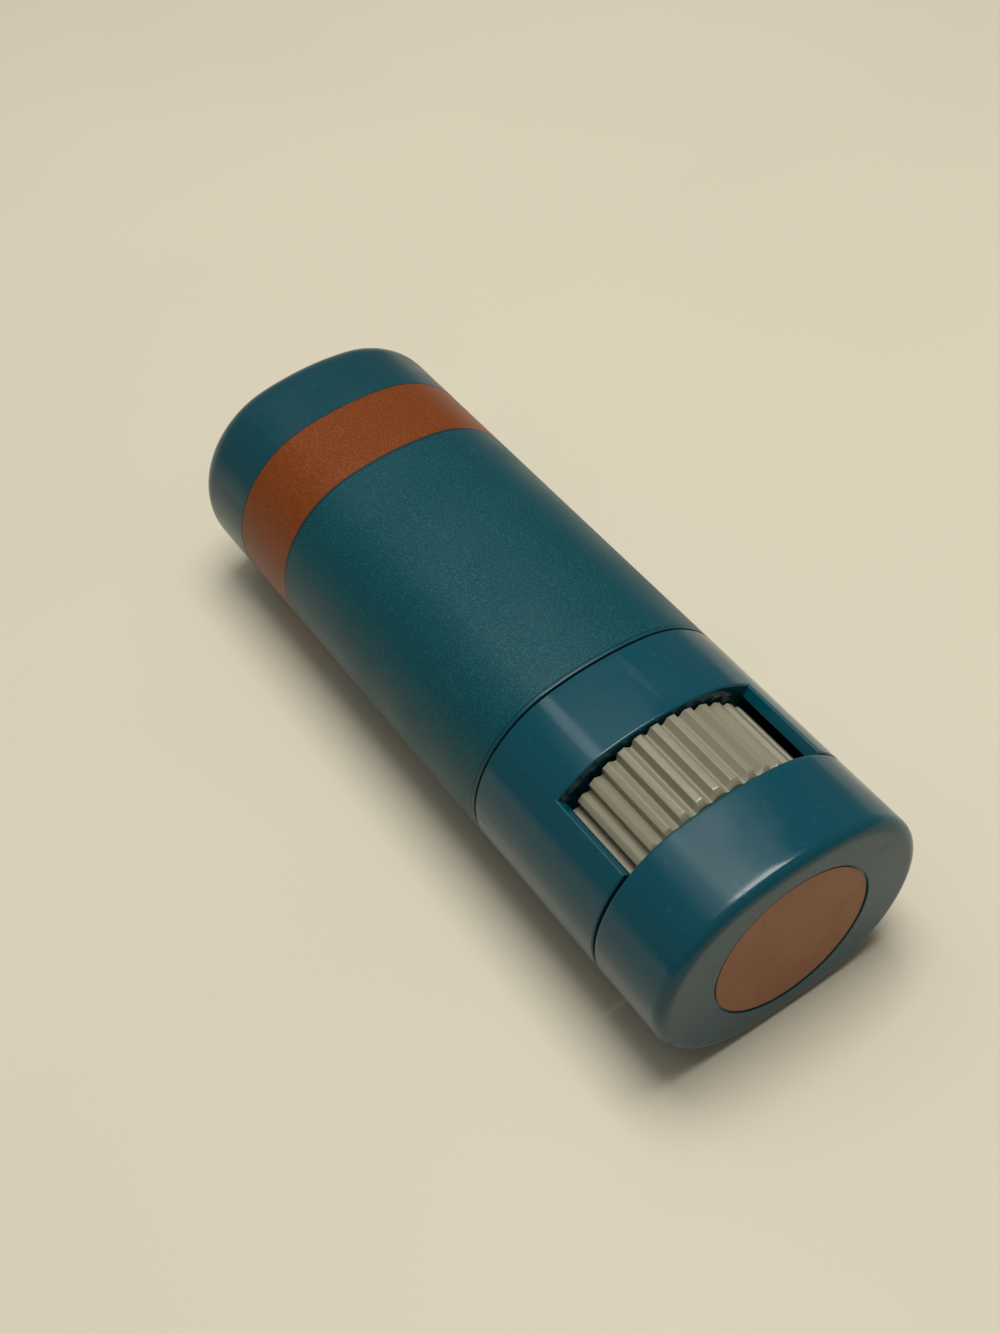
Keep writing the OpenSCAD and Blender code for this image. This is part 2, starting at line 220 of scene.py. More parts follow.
def feed(tree, socket, value):
    # links another node's socket, or sets a plain value
    if isinstance(value, bpy.types.NodeSocket):
        tree.links.new(value, socket)
    else:
        socket.default_value = value


def addNode(tree, kind, settings=None, **inputs):
    # an underscore in an input's name stands for a space
    node = tree.nodes.new(kind)
    for key, value in (settings or {}).items():
        setattr(node, key, value)
    for key, value in inputs.items():
        feed(tree, node.inputs[key.replace("_", " ")], value)
    return node


def rangeOf(tree, value, fromMin, fromMax, toMin=0, toMax=1, smooth=False):
    kind = "SMOOTHSTEP" if smooth else "LINEAR"
    node = addNode(
        tree, "ShaderNodeMapRange", {"interpolation_type": kind}, Value=value,
        From_Min=fromMin, From_Max=fromMax, To_Min=toMin, To_Max=toMax,
    )
    return node.outputs["Result"]


def mathOf(tree, operation, a, b=0.0):
    node = addNode(tree, "ShaderNodeMath", {"operation": operation})
    feed(tree, node.inputs[0], a)
    feed(tree, node.inputs[1], b)
    return node.outputs[0]


def mixOf(tree, factor, a, b):
    node = addNode(tree, "ShaderNodeMix", {"data_type": "RGBA"})
    for index, value in ((0, factor), (6, a), (7, b)):  # the colour sockets among its inputs
        feed(tree, node.inputs[index], value)
    return node.outputs[2]


def opaque(colour):
    return (*colour, 1)


def newGroup(name, inputs, outputs):
    group = bpy.data.node_groups.new(name, "ShaderNodeTree")
    group.interface.new_socket(name="Vector", in_out="INPUT", socket_type="NodeSocketVector")
    for label, value in inputs.items():
        socket = group.interface.new_socket(
            name=label, in_out="INPUT", socket_type="NodeSocketFloat"
        )
        socket.default_value = value
    for label in outputs:
        group.interface.new_socket(name=label, in_out="OUTPUT", socket_type="NodeSocketFloat")
    return group, group.nodes.new("NodeGroupInput"), group.nodes.new("NodeGroupOutput")


# thresholds are places in a noise's range, where a mark starts and is full
markShape = {
    "smearFrom": 0.42, "smearTo": 0.66, "smearDetail": 3.0,
    "scratchFrom": 0.66, "scratchTo": 0.74, "scratchDetail": 1.0,
    "scratchTurn": (0.3, 0.5, 0.6), "scratchStretch": (0.09, 1.0, 0.7),
    "speckCore": 0.06, "speckEdge": 0.14,
}


def makeHandlingMarks(shape):
    # soft smears, fine scratches and specks that a handled plastic surface carries
    group, entry, leave = newGroup(
        "handlingMarks",
        {"Smear Size": 160.0, "Scratch Size": 900.0, "Speck Size": 1500.0},
        ["Smears", "Scratches", "Specks"],
    )
    place, sizes = entry.outputs["Vector"], entry.outputs
    smear = addNode(
        group, "ShaderNodeTexNoise", Vector=place, Scale=sizes["Smear Size"],
        Detail=shape["smearDetail"],
    )
    stretched = addNode(
        group, "ShaderNodeMapping", Vector=place, Rotation=shape["scratchTurn"],
        Scale=shape["scratchStretch"],
    )
    scratch = addNode(
        group, "ShaderNodeTexNoise", Vector=stretched.outputs[0], Scale=sizes["Scratch Size"],
        Detail=shape["scratchDetail"],
    )
    speck = addNode(group, "ShaderNodeTexVoronoi", Vector=place, Scale=sizes["Speck Size"])
    masks = {
        "Smears": rangeOf(
            group, smear.outputs[0], shape["smearFrom"], shape["smearTo"], smooth=True
        ),
        "Scratches": rangeOf(
            group, scratch.outputs[0], shape["scratchFrom"], shape["scratchTo"]
        ),
        "Specks": rangeOf(
            group, speck.outputs["Distance"], shape["speckCore"], shape["speckEdge"], 1, 0
        ),
    }
    for label, mask in masks.items():
        group.links.new(mask, leave.inputs[label])
    return group


def makeMouldSkin():
    # the slow waviness and the fine texture of a moulded surface, as one height
    group, entry, leave = newGroup(
        "mouldSkin",
        {"Wave Size": 90.0, "Grain Size": 4200.0, "Grain Share": 0.2},
        ["Height", "Grain"],
    )
    place, sizes = entry.outputs["Vector"], entry.outputs
    wave = addNode(
        group, "ShaderNodeTexNoise", Vector=place, Scale=sizes["Wave Size"], Detail=1.0
    )
    grain = addNode(
        group, "ShaderNodeTexNoise", Vector=place, Scale=sizes["Grain Size"], Detail=2.0
    )
    share = mathOf(group, "MULTIPLY", grain.outputs[0], sizes["Grain Share"])
    group.links.new(mathOf(group, "ADD", wave.outputs[0], share), leave.inputs["Height"])
    group.links.new(grain.outputs[0], leave.inputs["Grain"])
    return group


handlingMarks = makeHandlingMarks(markShape)
mouldSkin = makeMouldSkin()


def placeSkin(tree, place, look):
    return addNode(
        tree, "ShaderNodeGroup", {"node_tree": mouldSkin}, Vector=place,
        Wave_Size=look["waveSize"], Grain_Size=look["grainSize"], Grain_Share=look["grainShare"],
    )


def placeMarks(tree, place, **sizes):
    return addNode(tree, "ShaderNodeGroup", {"node_tree": handlingMarks}, Vector=place, **sizes)


def startMaterial(name, colour, roughness, specular):
    material = bpy.data.materials.new(name)
    material.use_nodes = True
    tree = material.node_tree
    shader = tree.nodes["Principled BSDF"]
    shader.inputs["Base Color"].default_value = opaque(colour)
    shader.inputs["Roughness"].default_value = roughness
    shader.inputs["Specular IOR Level"].default_value = specular
    place = tree.nodes.new("ShaderNodeTexCoord").outputs["Object"]
    return material, tree, shader, place


def bumpFrom(tree, shader, heightSocket, distance):
    bump = addNode(tree, "ShaderNodeBump", Height=heightSocket, Distance=distance, Strength=1.0)
    tree.links.new(bump.outputs["Normal"], shader.inputs["Normal"])


def mouldedPlastic(name, look):
    rough = look["roughness"]
    material, tree, shader, place = startMaterial(name, look["colour"], rough, look["specular"])
    marks = placeMarks(
        tree, place, Smear_Size=look["smearSize"], Scratch_Size=look["scratchSize"],
        Speck_Size=look["speckSize"],
    ).outputs
    skin = placeSkin(tree, place, look).outputs
    bumpFrom(tree, shader, skin["Height"], look["bump"])
    smeared = rangeOf(tree, marks["Smears"], 0, 1, rough, rough + look["smearRough"])
    scratched = mathOf(tree, "MULTIPLY", marks["Scratches"], look["scratchRough"])
    tree.links.new(mathOf(tree, "ADD", smeared, scratched), shader.inputs["Roughness"])
    shade = rangeOf(tree, skin["Grain"], look["shadeFrom"], look["shadeTo"])
    plain = mixOf(tree, shade, opaque(look["colour"]), opaque(look["lighter"]))
    dusty = mathOf(tree, "MULTIPLY", marks["Specks"], look["speckShare"])
    tree.links.new(mixOf(tree, dusty, plain, opaque(look["dust"])), shader.inputs["Base Color"])
    return material


# surfaces and prints: sizes are noise scales per metre, bump is in metres

glossTeal = {
    "colour": (0.0004, 0.052, 0.078), "lighter": (0.0006, 0.056, 0.083),
    "dust": (0.16, 0.22, 0.24), "roughness": 0.13, "smearRough": 0.12, "scratchRough": 0.12,
    "specular": 0.38, "smearSize": 120.0, "scratchSize": 700.0, "speckSize": 900.0,
    "speckShare": 0.10, "waveSize": 70.0, "grainSize": 5200.0, "grainShare": 0.02,
    "shadeFrom": 0.3, "shadeTo": 0.7, "bump": 0.00012,
}
capTeal = dict(
    glossTeal, colour=(0.0004, 0.043, 0.062), lighter=(0.0005, 0.047, 0.067), roughness=0.26,
    smearRough=0.10, grainShare=0.05,
)
wheelGrey = {
    "colour": (0.215, 0.203, 0.147), "lighter": (0.230, 0.217, 0.160),
    "dust": (0.32, 0.30, 0.25), "roughness": 0.22, "smearRough": 0.14, "scratchRough": 0.12,
    "specular": 0.5, "smearSize": 260.0, "scratchSize": 900.0, "speckSize": 1500.0,
    "speckShare": 0.15, "waveSize": 240.0, "grainSize": 6500.0, "grainShare": 0.08,
    "shadeFrom": 0.3, "shadeTo": 0.7, "bump": 0.00006,
}
barrelWhite = {
    "colour": (0.74, 0.74, 0.71), "lighter": (0.78, 0.78, 0.75),
    "dust": (0.60, 0.58, 0.54), "roughness": 0.40, "smearRough": 0.10, "scratchRough": 0.12,
    "specular": 0.5, "smearSize": 150.0, "scratchSize": 800.0, "speckSize": 1200.0,
    "speckShare": 0.10, "waveSize": 90.0, "grainSize": 4500.0, "grainShare": 0.06,
    "shadeFrom": 0.3, "shadeTo": 0.7, "bump": 0.00010,
}
carriageWhite = dict(
    barrelWhite, colour=(0.70, 0.70, 0.67), lighter=(0.74, 0.74, 0.71), roughness=0.46
)
spindleWhite = dict(
    barrelWhite, colour=(0.72, 0.72, 0.69), lighter=(0.76, 0.76, 0.73), roughness=0.34
)
stickerBrown = {
    "colour": (0.270, 0.094, 0.026), "lighter": (0.290, 0.104, 0.031),
    "dust": (0.36, 0.21, 0.11), "roughness": 0.42, "smearRough": 0.08, "scratchRough": 0.10,
    "specular": 0.4, "smearSize": 200.0, "scratchSize": 1100.0, "speckSize": 1600.0,
    "speckShare": 0.10, "waveSize": 180.0, "grainSize": 7000.0, "grainShare": 0.12,
    "shadeFrom": 0.3, "shadeTo": 0.7, "bump": 0.00006,
}

wrapFilm = {
    "teal": (0.0004, 0.045, 0.062), "tealFleck": (0.003, 0.100, 0.124),
    "bronze": (0.150, 0.031, 0.003), "bronzeFleck": (0.255, 0.070, 0.013),
    "bandFrom": 58.3, "bandSoft": 0.03, "bandLine": 0.22, "lineShare": 0.85,
    "lineColour": (0.002, 0.022, 0.030),
    "waveSize": 120.0, "grainSize": 6000.0, "grainShare": 0.5, "fleckFrom": 0.50, "fleckTo": 0.66,
    "roughness": 0.36, "fleckRough": 0.10, "fleckMetal": 0.35, "bump": 0.00003,
    "smearSize": 110.0, "smearRough": 0.07, "specular": 0.26,
}

balmTint = {
    "colour": (0.46, 0.225, 0.125), "lighter": (0.52, 0.27, 0.155), "roughness": 0.48,
    "specular": 0.4, "smearSize": 140.0, "smearRough": 0.12,
    "waveSize": 130.0, "grainSize": 2600.0, "grainShare": 0.25, "bump": 0.00025,
    "softness": 0.25, "softRadius": (1.0, 0.45, 0.25), "softDepth": 0.0012,
}


def makeWrapFilm(look):
    # satin film with a fine metallic grain, bronze past the band's edge
    rough = look["roughness"]
    material, tree, shader, place = startMaterial("wrapFilm", look["teal"], rough, look["specular"])
    along = addNode(tree, "ShaderNodeSeparateXYZ", Vector=place).outputs["X"]
    skin = placeSkin(tree, place, look).outputs
    marks = placeMarks(tree, place, Smear_Size=look["smearSize"]).outputs
    fleck = rangeOf(tree, skin["Grain"], look["fleckFrom"], look["fleckTo"])
    # the band's edge, with a thin dark line along it
    edge, soft, wide = height(look["bandFrom"]), look["bandSoft"] * mm, look["bandLine"] * mm
    band = rangeOf(tree, along, edge - soft, edge + soft, smooth=True)
    fromEdge = mathOf(tree, "ABSOLUTE", mathOf(tree, "SUBTRACT", along, edge))
    line = rangeOf(tree, fromEdge, wide * 0.5, wide, 1, 0, smooth=True)
    teal = mixOf(tree, fleck, opaque(look["teal"]), opaque(look["tealFleck"]))
    bronze = mixOf(tree, fleck, opaque(look["bronze"]), opaque(look["bronzeFleck"]))
    lineMask = mathOf(tree, "MULTIPLY", line, look["lineShare"])
    lined = mixOf(tree, lineMask, mixOf(tree, band, teal, bronze), opaque(look["lineColour"]))
    tree.links.new(lined, shader.inputs["Base Color"])
    grained = rangeOf(tree, fleck, 0, 1, rough, rough + look["fleckRough"])
    smeared = mathOf(tree, "MULTIPLY", marks["Smears"], look["smearRough"])
    tree.links.new(mathOf(tree, "ADD", grained, smeared), shader.inputs["Roughness"])
    metal = rangeOf(tree, fleck, 0, 1, 0, look["fleckMetal"])
    tree.links.new(metal, shader.inputs["Metallic"])
    bumpFrom(tree, shader, skin["Height"], look["bump"])
    return material


def makeBalmTint(look):
    # poured wax: slow shrink ripples, fine pigment grain and a little light let in
    rough = look["roughness"]
    material, tree, shader, place = startMaterial(
        "balmTint", look["colour"], rough, look["specular"]
    )
    shader.inputs["Subsurface Weight"].default_value = look["softness"]
    shader.inputs["Subsurface Radius"].default_value = look["softRadius"]
    shader.inputs["Subsurface Scale"].default_value = look["softDepth"]
    skin = placeSkin(tree, place, look).outputs
    smears = placeMarks(tree, place, Smear_Size=look["smearSize"]).outputs["Smears"]
    tint = mixOf(tree, smears, opaque(look["colour"]), opaque(look["lighter"]))
    tree.links.new(tint, shader.inputs["Base Color"])
    smeared = rangeOf(tree, smears, 0, 1, rough, rough + look["smearRough"])
    tree.links.new(smeared, shader.inputs["Roughness"])
    bumpFrom(tree, shader, skin["Height"], look["bump"])
    return material


tealGlossMaterial = mouldedPlastic("tealGloss", glossTeal)
tealCapMaterial = mouldedPlastic("tealCap", capTeal)
wheelMaterial = mouldedPlastic("wheelGrey", wheelGrey)
barrelMaterial = mouldedPlastic("barrelWhite", barrelWhite)
carriageMaterial = mouldedPlastic("carriageWhite", carriageWhite)
spindleMaterial = mouldedPlastic("spindleWhite", spindleWhite)
stickerMaterial = mouldedPlastic("stickerBrown", stickerBrown)
wrapMaterial = makeWrapFilm(wrapFilm)
balmMaterial = makeBalmTint(balmTint)
print("materials made")


# the camera that took the photograph

view = {
    "place": (-93.510, 54.740, 134.689),  # mm
    "right": (-0.56127315, -0.82422206, -0.07503631),
    "down": (-0.59928424, 0.46727285, -0.65001114),
    "forward": (0.57081596, -0.31986572, -0.75621099),
    "lens": 48.61,
    "sensor": 36,
    "nearest": 5,  # mm, nothing nearer than this is drawn
}


def makeCamera(size):
    data = bpy.data.cameras.new("photoCamera")
    data.lens = size["lens"]
    data.sensor_width = size["sensor"]
    data.clip_start = size["nearest"] * mm
    camera = bpy.data.objects.new("photoCamera", data)
    right, down, forward = (Vector(size[key]) for key in ("right", "down", "forward"))
    turned = Matrix((right, -down, -forward)).transposed().to_4x4()
    camera.matrix_world = Matrix.Translation(Vector(size["place"]) * mm) @ turned
    bpy.context.scene.collection.objects.link(camera)
    bpy.context.scene.camera = camera


makeCamera(view)
print("camera set")


# the bottom cover

coverSizes = {
    "top": 8.55, "wall": 1.0, "floor": 1.4, "edge": 1.1, "rim": 0.16, "flatFrom": 1.5,
    "holdLow": 0.3, "holdHigh": 0.15,  # rows that keep the shading of the wall straight
    "recessRadius": 7.9, "recessDepth": 0.2, "recessLip": (0.06, 0.05),  # out, down
    "recessHold": (0.35, 0.3),  # rows outside and inside that keep both flats flat
    "grooveLow": 4.15, "grooveHigh": 5.45, "grooveDepth": 0.3, "chamfer": 0.1,
    "floorFillet": 0.4, "postRadius": 3.4, "postTop": 8.9, "postFillet": 0.3,
    "pinRadius": 1.45, "pinTop": 12.3, "pinChamfer": 0.15,
}


def makeBottomCover(size):
    bm = bmesh.new()
    top, wall, edge, rim = size["top"], size["wall"], size["edge"], size["rim"]
    low, high, depth = size["grooveLow"], size["grooveHigh"], size["grooveDepth"]
    floor, fillet, chamfer = size["floor"], size["floorFillet"], size["chamfer"]
    profile = [(size["flatFrom"], 0)]
    profile += arc((edge, edge), edge, -90, -180, steps=10)
    profile += [(0, edge + size["holdLow"]), (0, top - rim - size["holdHigh"])]
    profile += arc((rim, top - rim), rim, 180, 90, steps=4)
    profile += [(wall - chamfer, top), (wall, top - chamfer)]
    profile += [(wall, high), (wall - depth, high - depth)]
    profile += [(wall - depth, low + depth), (wall, low)]
    profile += arc((wall + fillet, floor + fillet), fillet, 180, 270, steps=3)
    profile += [(oval["innerInset"], floor)]
    sweepOval(bm, profile)
    bottom, inner = openLoops(bm)
    recess, deep = size["recessRadius"], size["recessDepth"]
    (lipOut, lipDown), (outside, inside) = size["recessLip"], size["recessHold"]
    bottom = ringsTo(bm, bottom, [
        (recess + outside, 0), (recess + lipOut, 0), (recess, lipDown), (recess, deep),
        (recess - inside, deep),
    ])
    bmesh.ops.contextual_create(bm, geom=bottom)
    # the post and its pin rise from the floor
    post, pin, fillet = size["postRadius"], size["pinRadius"], size["postFillet"]
    inner = ringsTo(bm, inner, [
        (post + fillet, floor), (post, floor + fillet),
        (post, size["postTop"] - chamfer), (post - chamfer, size["postTop"]),
        (pin, size["postTop"]), (pin, size["pinTop"] - size["pinChamfer"]),
        (pin - size["pinChamfer"], size["pinTop"]),
    ])
    bmesh.ops.contextual_create(bm, geom=inner)
    finishPiece("bottomCover", bm, tealGlossMaterial, "base", ["bottom_cover"])


makeBottomCover(coverSizes)

stickerSizes = {"radius": 7.7, "face": 0.08, "back": 0.19, "edge": 0.03, "segments": 128}


def makeBaseSticker(size):
    bm = bmesh.new()
    lay = Matrix.Rotation(math.radians(-90), 4, "Y")
    made = bmesh.ops.create_circle(
        bm, cap_ends=True, segments=size["segments"], radius=size["radius"] * mm,
        matrix=Matrix.Translation((height(size["back"]), 0, axisZ)) @ lay,
    )
    face = made["verts"][0].link_faces[0]
    front = vertsIn(bmesh.ops.extrude_face_region(bm, geom=[face])["geom"])
    bmesh.ops.translate(bm, verts=front, vec=((size["face"] - size["back"]) * mm, 0, 0))
    rim = [e for e in bm.edges if all(v in front for v in e.verts)]
    roundEdges(bm, rim, size["edge"], segments=3)
    finishPiece("baseSticker", bm, stickerMaterial, "base", ["base_sticker"])


makeBaseSticker(stickerSizes)
print("bottom cover and sticker made")


# the housing, with its dial windows

housingSizes = {
    "bottom": 8.85, "windowTop": 17.78, "top": 25.6, "wall": 1.2,
    "outerEdge": 0.2, "seamEdge": 0.1, "innerEdge": 0.12,
    "crease": 50,  # edges that turn more than this many degrees are rounded
    "seamBand": 0.2, "outerBand": 0.3,  # how near the top or the outside an edge has to be
    "ledgeLow": 18.0, "ledgeHeight": 0.8, "ledgeReach": 3.3, "ledgeSink": 0.1,
}


def makeHousing(size):
    bm = bmesh.new()
    sweepOval(bm, [(0, size["bottom"]), (0, size["windowTop"]), (0, size["top"])])
    gone = []
    for face in bm.faces:
        middle = face.calc_center_median()
        if middle.x < height(size["windowTop"]) and abs(middle.y) < oval["windowHalf"] * mm:
            gone.append(face)
    bmesh.ops.delete(bm, geom=gone, context="FACES")
    bmesh.ops.recalc_face_normals(bm, faces=bm.faces)
    bmesh.ops.solidify(bm, geom=bm.faces[:], thickness=size["wall"] * mm)
    bmesh.ops.recalc_face_normals(bm, faces=bm.faces)
    outer, seam, inner = [], [], []
    for e in bm.edges:
        if len(e.link_faces) == 2 and e.calc_face_angle() > math.radians(size["crease"]):
            middle = (e.verts[0].co + e.verts[1].co) / 2
            if middle.x > height(size["top"] - size["seamBand"]):
                seam.append(e)
            else:
                (outer if insetOf(middle) < size["outerBand"] else inner).append(e)
    rounds = (
        (outer, size["outerEdge"], 4), (seam, size["seamEdge"], 2), (inner, size["innerEdge"], 2)
    )
    for edges, width, segments in rounds:
        roundEdges(bm, [e for e in edges if e.is_valid], width, segments)
    # the ledge above the windows that the barrel sits on
    low, high = size["ledgeLow"], size["ledgeLow"] + size["ledgeHeight"]
    inside, reach = size["wall"] - size["ledgeSink"], size["wall"] + size["ledgeReach"]
    sweepOval(bm, [(inside, low), (reach, low), (reach, high), (inside, high)], closed=True)
    finishPiece("housingShell", bm, tealGlossMaterial, "base", ["housing"])


tongueSizes = {
    "face": 1.05, "back": 2.0, "low": 3.35, "high": 13.0, "half": 3.2, "lead": 0.3,
    "bead": ((0, 1.0), (0.2, 1.3), (0.2, 1.6), (0, 1.8)),  # rise, height above the end
    "shoulder": ((0, 8.6), (0.05, 9.0)),  # step in and height, where it enters the housing
    "topFace": 0.15, "topBack": 0.5, "backTop": 8.4,
}


def makeTongues(size):
    # two tongues with snap beads that reach down into the bottom cover
    bm = bmesh.new()
    face, back, low, high = size["face"], size["back"], size["low"], size["high"]
    half = size["half"] / oval["endRadius"]
    profile = [(face + size["lead"], low), (face, low + size["lead"])]
    profile += [(face - rise, low + h) for rise, h in size["bead"]]
    profile += [(face + step, h) for step, h in size["shoulder"]]
    profile += [(face + size["topFace"], high), (face + size["topBack"], high)]
    profile += [(back, size["backTop"]), (back, low)]
    for side in (1, -1):
        verts, edges = layProfile(bm, profile, side, closed=True)
        pivot = (0, side * oval["endCentre"] * mm, axisZ)
        toStart, across = Matrix.Rotation(-half, 3, "X"), Matrix.Rotation(2 * half, 3, "X")
        bmesh.ops.rotate(bm, cent=pivot, matrix=toStart, verts=verts)
        first = bmesh.ops.contextual_create(bm, geom=edges)["faces"]
        moved = vertsIn(bmesh.ops.extrude_face_region(bm, geom=first)["geom"])
        bmesh.ops.rotate(bm, cent=pivot, matrix=across, verts=moved)
    finishPiece("housingTongues", bm, tealGlossMaterial, "base")


makeHousing(housingSizes)
makeTongues(tongueSizes)
print("housing made")


# the dial wheel

wheelSizes = {
    "bottom": 9.0, "top": 17.5, "radius": 10.5, "ribs": 38, "ribDepth": 0.7, "landShare": 0.19,
    "flankShare": 0.245, "ribRound": 0.10, "turn": -1.9, "merge": 0.004,
    # corners of a rib: share of the flank out from the land, then mm above the valley
    "valleyCorner": ((1.08, 0.01), (0.93, 0.06)),
    # and here the share of ribRound below the rib's top
    "crestCorner": ((0.1, 1.0), (-0.01, 0.3), (-0.16, 0.04)),
    # the ribs' rounded ends: mm from the end, then mm in from the ribs' tops
    "lowEnd": ((0, 0.5), (0.06, 0.4), (0.38, 0.09), (0.48, 0.02), (0.62, 0)),
    "highEnd": ((0.2, 0), (0.05, 0.03), (0, 0.1)),
    "rimInner": 7.6, "rimChamfer": 0.15, "webBottom": 16.3, "hubRadius": 4.1, "chamfer": 0.1,
    "hexRadius": 2.74, "counterbore": 3.6, "counterDepth": 0.25,
    "spokes": 6, "spokeWidth": 0.9, "spokeLow": 2.5, "spokeSink": 0.2, "spokeOverlap": 0.3,
}


def ribOutline(size):
    # one pitch of the ribbed rim as (angle, radius), from valley to valley
    pitch = math.tau / size["ribs"]
    top, low = size["radius"], size["radius"] - size["ribDepth"]
    land, flank, soft = pitch * size["landShare"], pitch * size["flankShare"], size["ribRound"]
    half = [(pitch / 2, low)]
    half += [(land + flank * share, low + rise) for share, rise in size["valleyCorner"]]
    half += [(land + flank * share, top - soft * drop) for share, drop in size["crestCorner"]]
    half.append((land * 0.5, top))
    return [(-a, r) for a, r in half] + [(0, top)] + list(reversed(half))


def ribRadius(a, size):
    # the ribbed outline's radius at an angle round the axis
    pitch = math.tau / size["ribs"]
    turn = (a - math.radians(90 + size["turn"]) + pitch / 2) % pitch - pitch / 2
    points = ribOutline(size)
    for (a0, r0), (a1, r1) in zip(points, points[1:]):
        if a0 <= turn <= a1:
            return r0 + (r1 - r0) * (turn - a0) / max(a1 - a0, 1e-9)
    return points[0][1]


def clipped(place, limit, h):
    # a point at a new height, kept within a radius of the stick's axis
    out = Vector((0, place.y, place.z - axisZ))
    if out.length > limit * mm:
        out *= limit * mm / out.length
    return Vector((height(h), out.y, axisZ + out.z))


def makeDialWheel(size):
    bm = bmesh.new()
    pitch = math.tau / size["ribs"]
    low, high, tops = size["bottom"], size["top"], size["radius"]
    verts = []
    for a, r in ribOutline(size):
        turn = a + math.radians(90 + size["turn"])
        place = (height(low), r * mm * math.cos(turn), axisZ + r * mm * math.sin(turn))
        verts.append(bm.verts.new(place))
    edges = [bm.edges.new((verts[i], verts[i + 1])) for i in range(len(verts) - 1)]
    copies = size["ribs"] - 1
    bmesh.ops.spin(
        bm, geom=verts + edges, cent=(0, 0, axisZ), axis=(1, 0, 0), angle=pitch * copies,
        steps=copies, use_duplicate=True, use_merge=False,
    )
    bmesh.ops.remove_doubles(bm, verts=bm.verts, dist=size["merge"] * mm)
    for v in bm.verts:
        v.co = clipped(v.co, tops - size["lowEnd"][0][1], low)
    start = bm.edges[:]
    ends = [(low + up, tops - inside) for up, inside in size["lowEnd"][1:]]
    ends += [(high - down, tops - inside) for down, inside in size["highEnd"]]
    loop = list(start)
    for h, clip in ends:
        loop = ringTo(bm, loop, lambda a, clip=clip: min(ribRadius(a, size), clip), h)
    # the flat top, the hexagonal bore, the hub and the inside of the rim
    rim, hub, hexSize = size["rimInner"], size["hubRadius"], size["hexRadius"]
    web, chamfer, rimChamfer = size["webBottom"], size["chamfer"], size["rimChamfer"]
    bore, seat = size["counterbore"], low + size["counterDepth"]
    loop = ringsTo(bm, loop, [
        (rim, high), (hexagon(hexSize + chamfer), high), (hexagon(hexSize), high - chamfer),
        (hexagon(hexSize), seat), (bore, seat), (bore, low), (hub - chamfer, low),
        (hub, low + chamfer), (hub, web), (rim, web), (rim, low + rimChamfer),
        (rim + rimChamfer, low),
    ])
    bmesh.ops.bridge_loops(bm, edges=loop + start)
    # spokes under the web
    length = rim - hub + size["spokeOverlap"]
    deep = web + size["spokeSink"] - (low + size["spokeLow"])
    outward = Matrix.Translation((0, (hub + rim) / 2 * mm, 0))
    for n in range(size["spokes"]):
        spoke = bmesh.ops.create_cube(bm, size=1)["verts"]
        bmesh.ops.scale(bm, vec=(deep * mm, length * mm, size["spokeWidth"] * mm), verts=spoke)
        place = Matrix.Rotation(math.tau * n / size["spokes"], 4, "X") @ outward
        bmesh.ops.transform(bm, matrix=place, verts=spoke)
        middle = height(low + size["spokeLow"] + deep / 2)
        bmesh.ops.translate(bm, vec=(middle, 0, axisZ), verts=spoke)
    finishPiece("dialWheel", bm, wheelMaterial, "dial", ["dial_wheel"], sharp=34)


makeDialWheel(wheelSizes)
print("dial wheel made")


# the barrel

barrelSizes = {
    "floorBottom": 19.0, "floorTop": 20.2, "seat": 1.24, "seatTop": 25.3, "neck": 1.55,
    "chamfer": 0.1, "step": 0.05, "bead": 22.2, "beadRise": 0.15, "beadHalf": 0.5, "beadFlat": 0.35,
    "snap": 28.8, "snapFace": 1.35, "snapHalf": 0.6, "snapFlat": 0.3,
    "top": 65.0, "bore": 2.7, "lip": 0.3, "lipHold": 0.2, "fillet": 0.4, "journal": 3.0,
}


def makeBarrel(size):
    bm = bmesh.new()
    seat, neck, bore, lip, top = (size[k] for k in ("seat", "neck", "bore", "lip", "top"))
    floorLow, floorHigh, chamfer = size["floorBottom"], size["floorTop"], size["chamfer"]
    bead, beadHalf, beadFlat = size["bead"], size["beadHalf"], size["beadFlat"]
    snap, snapHalf, snapFlat = size["snap"], size["snapHalf"], size["snapFlat"]
    beadFace, snapFace = seat - size["beadRise"], size["snapFace"]
    seatTop, step, fillet = size["seatTop"], size["step"], size["fillet"]
    profile = [(oval["innerInset"], floorLow), (seat + chamfer, floorLow)]
    profile += [(seat, floorLow + chamfer), (seat, bead - beadHalf), (beadFace, bead - beadFlat)]
    profile += [(beadFace, bead + beadFlat), (seat, bead + beadHalf)]
    profile += [(seat, seatTop - step), (seat + step, seatTop), (neck, seatTop)]
    profile += [(neck, snap - snapHalf), (snapFace, snap - snapFlat), (snapFace, snap + snapFlat)]
    profile += [(neck, snap + snapHalf), (neck, top - lip - size["lipHold"])]
    profile += arc((neck + lip, top - lip), lip, 180, 90, steps=4)
    profile += arc((bore - lip, top - lip), lip, 90, 0, steps=4)
    profile += [(bore, floorHigh + fillet), (bore + fillet, floorHigh)]
    profile += [(oval["innerInset"], floorHigh)]
    sweepOval(bm, profile)
    low, high = openLoops(bm)
    low = ringTo(bm, low, size["journal"], floorLow)
    high = ringTo(bm, high, size["journal"], floorHigh)
    bmesh.ops.bridge_loops(bm, edges=low + high)
    finishPiece("barrelTube", bm, barrelMaterial, "base", ["barrel"])


makeBarrel(barrelSizes)


# the balm

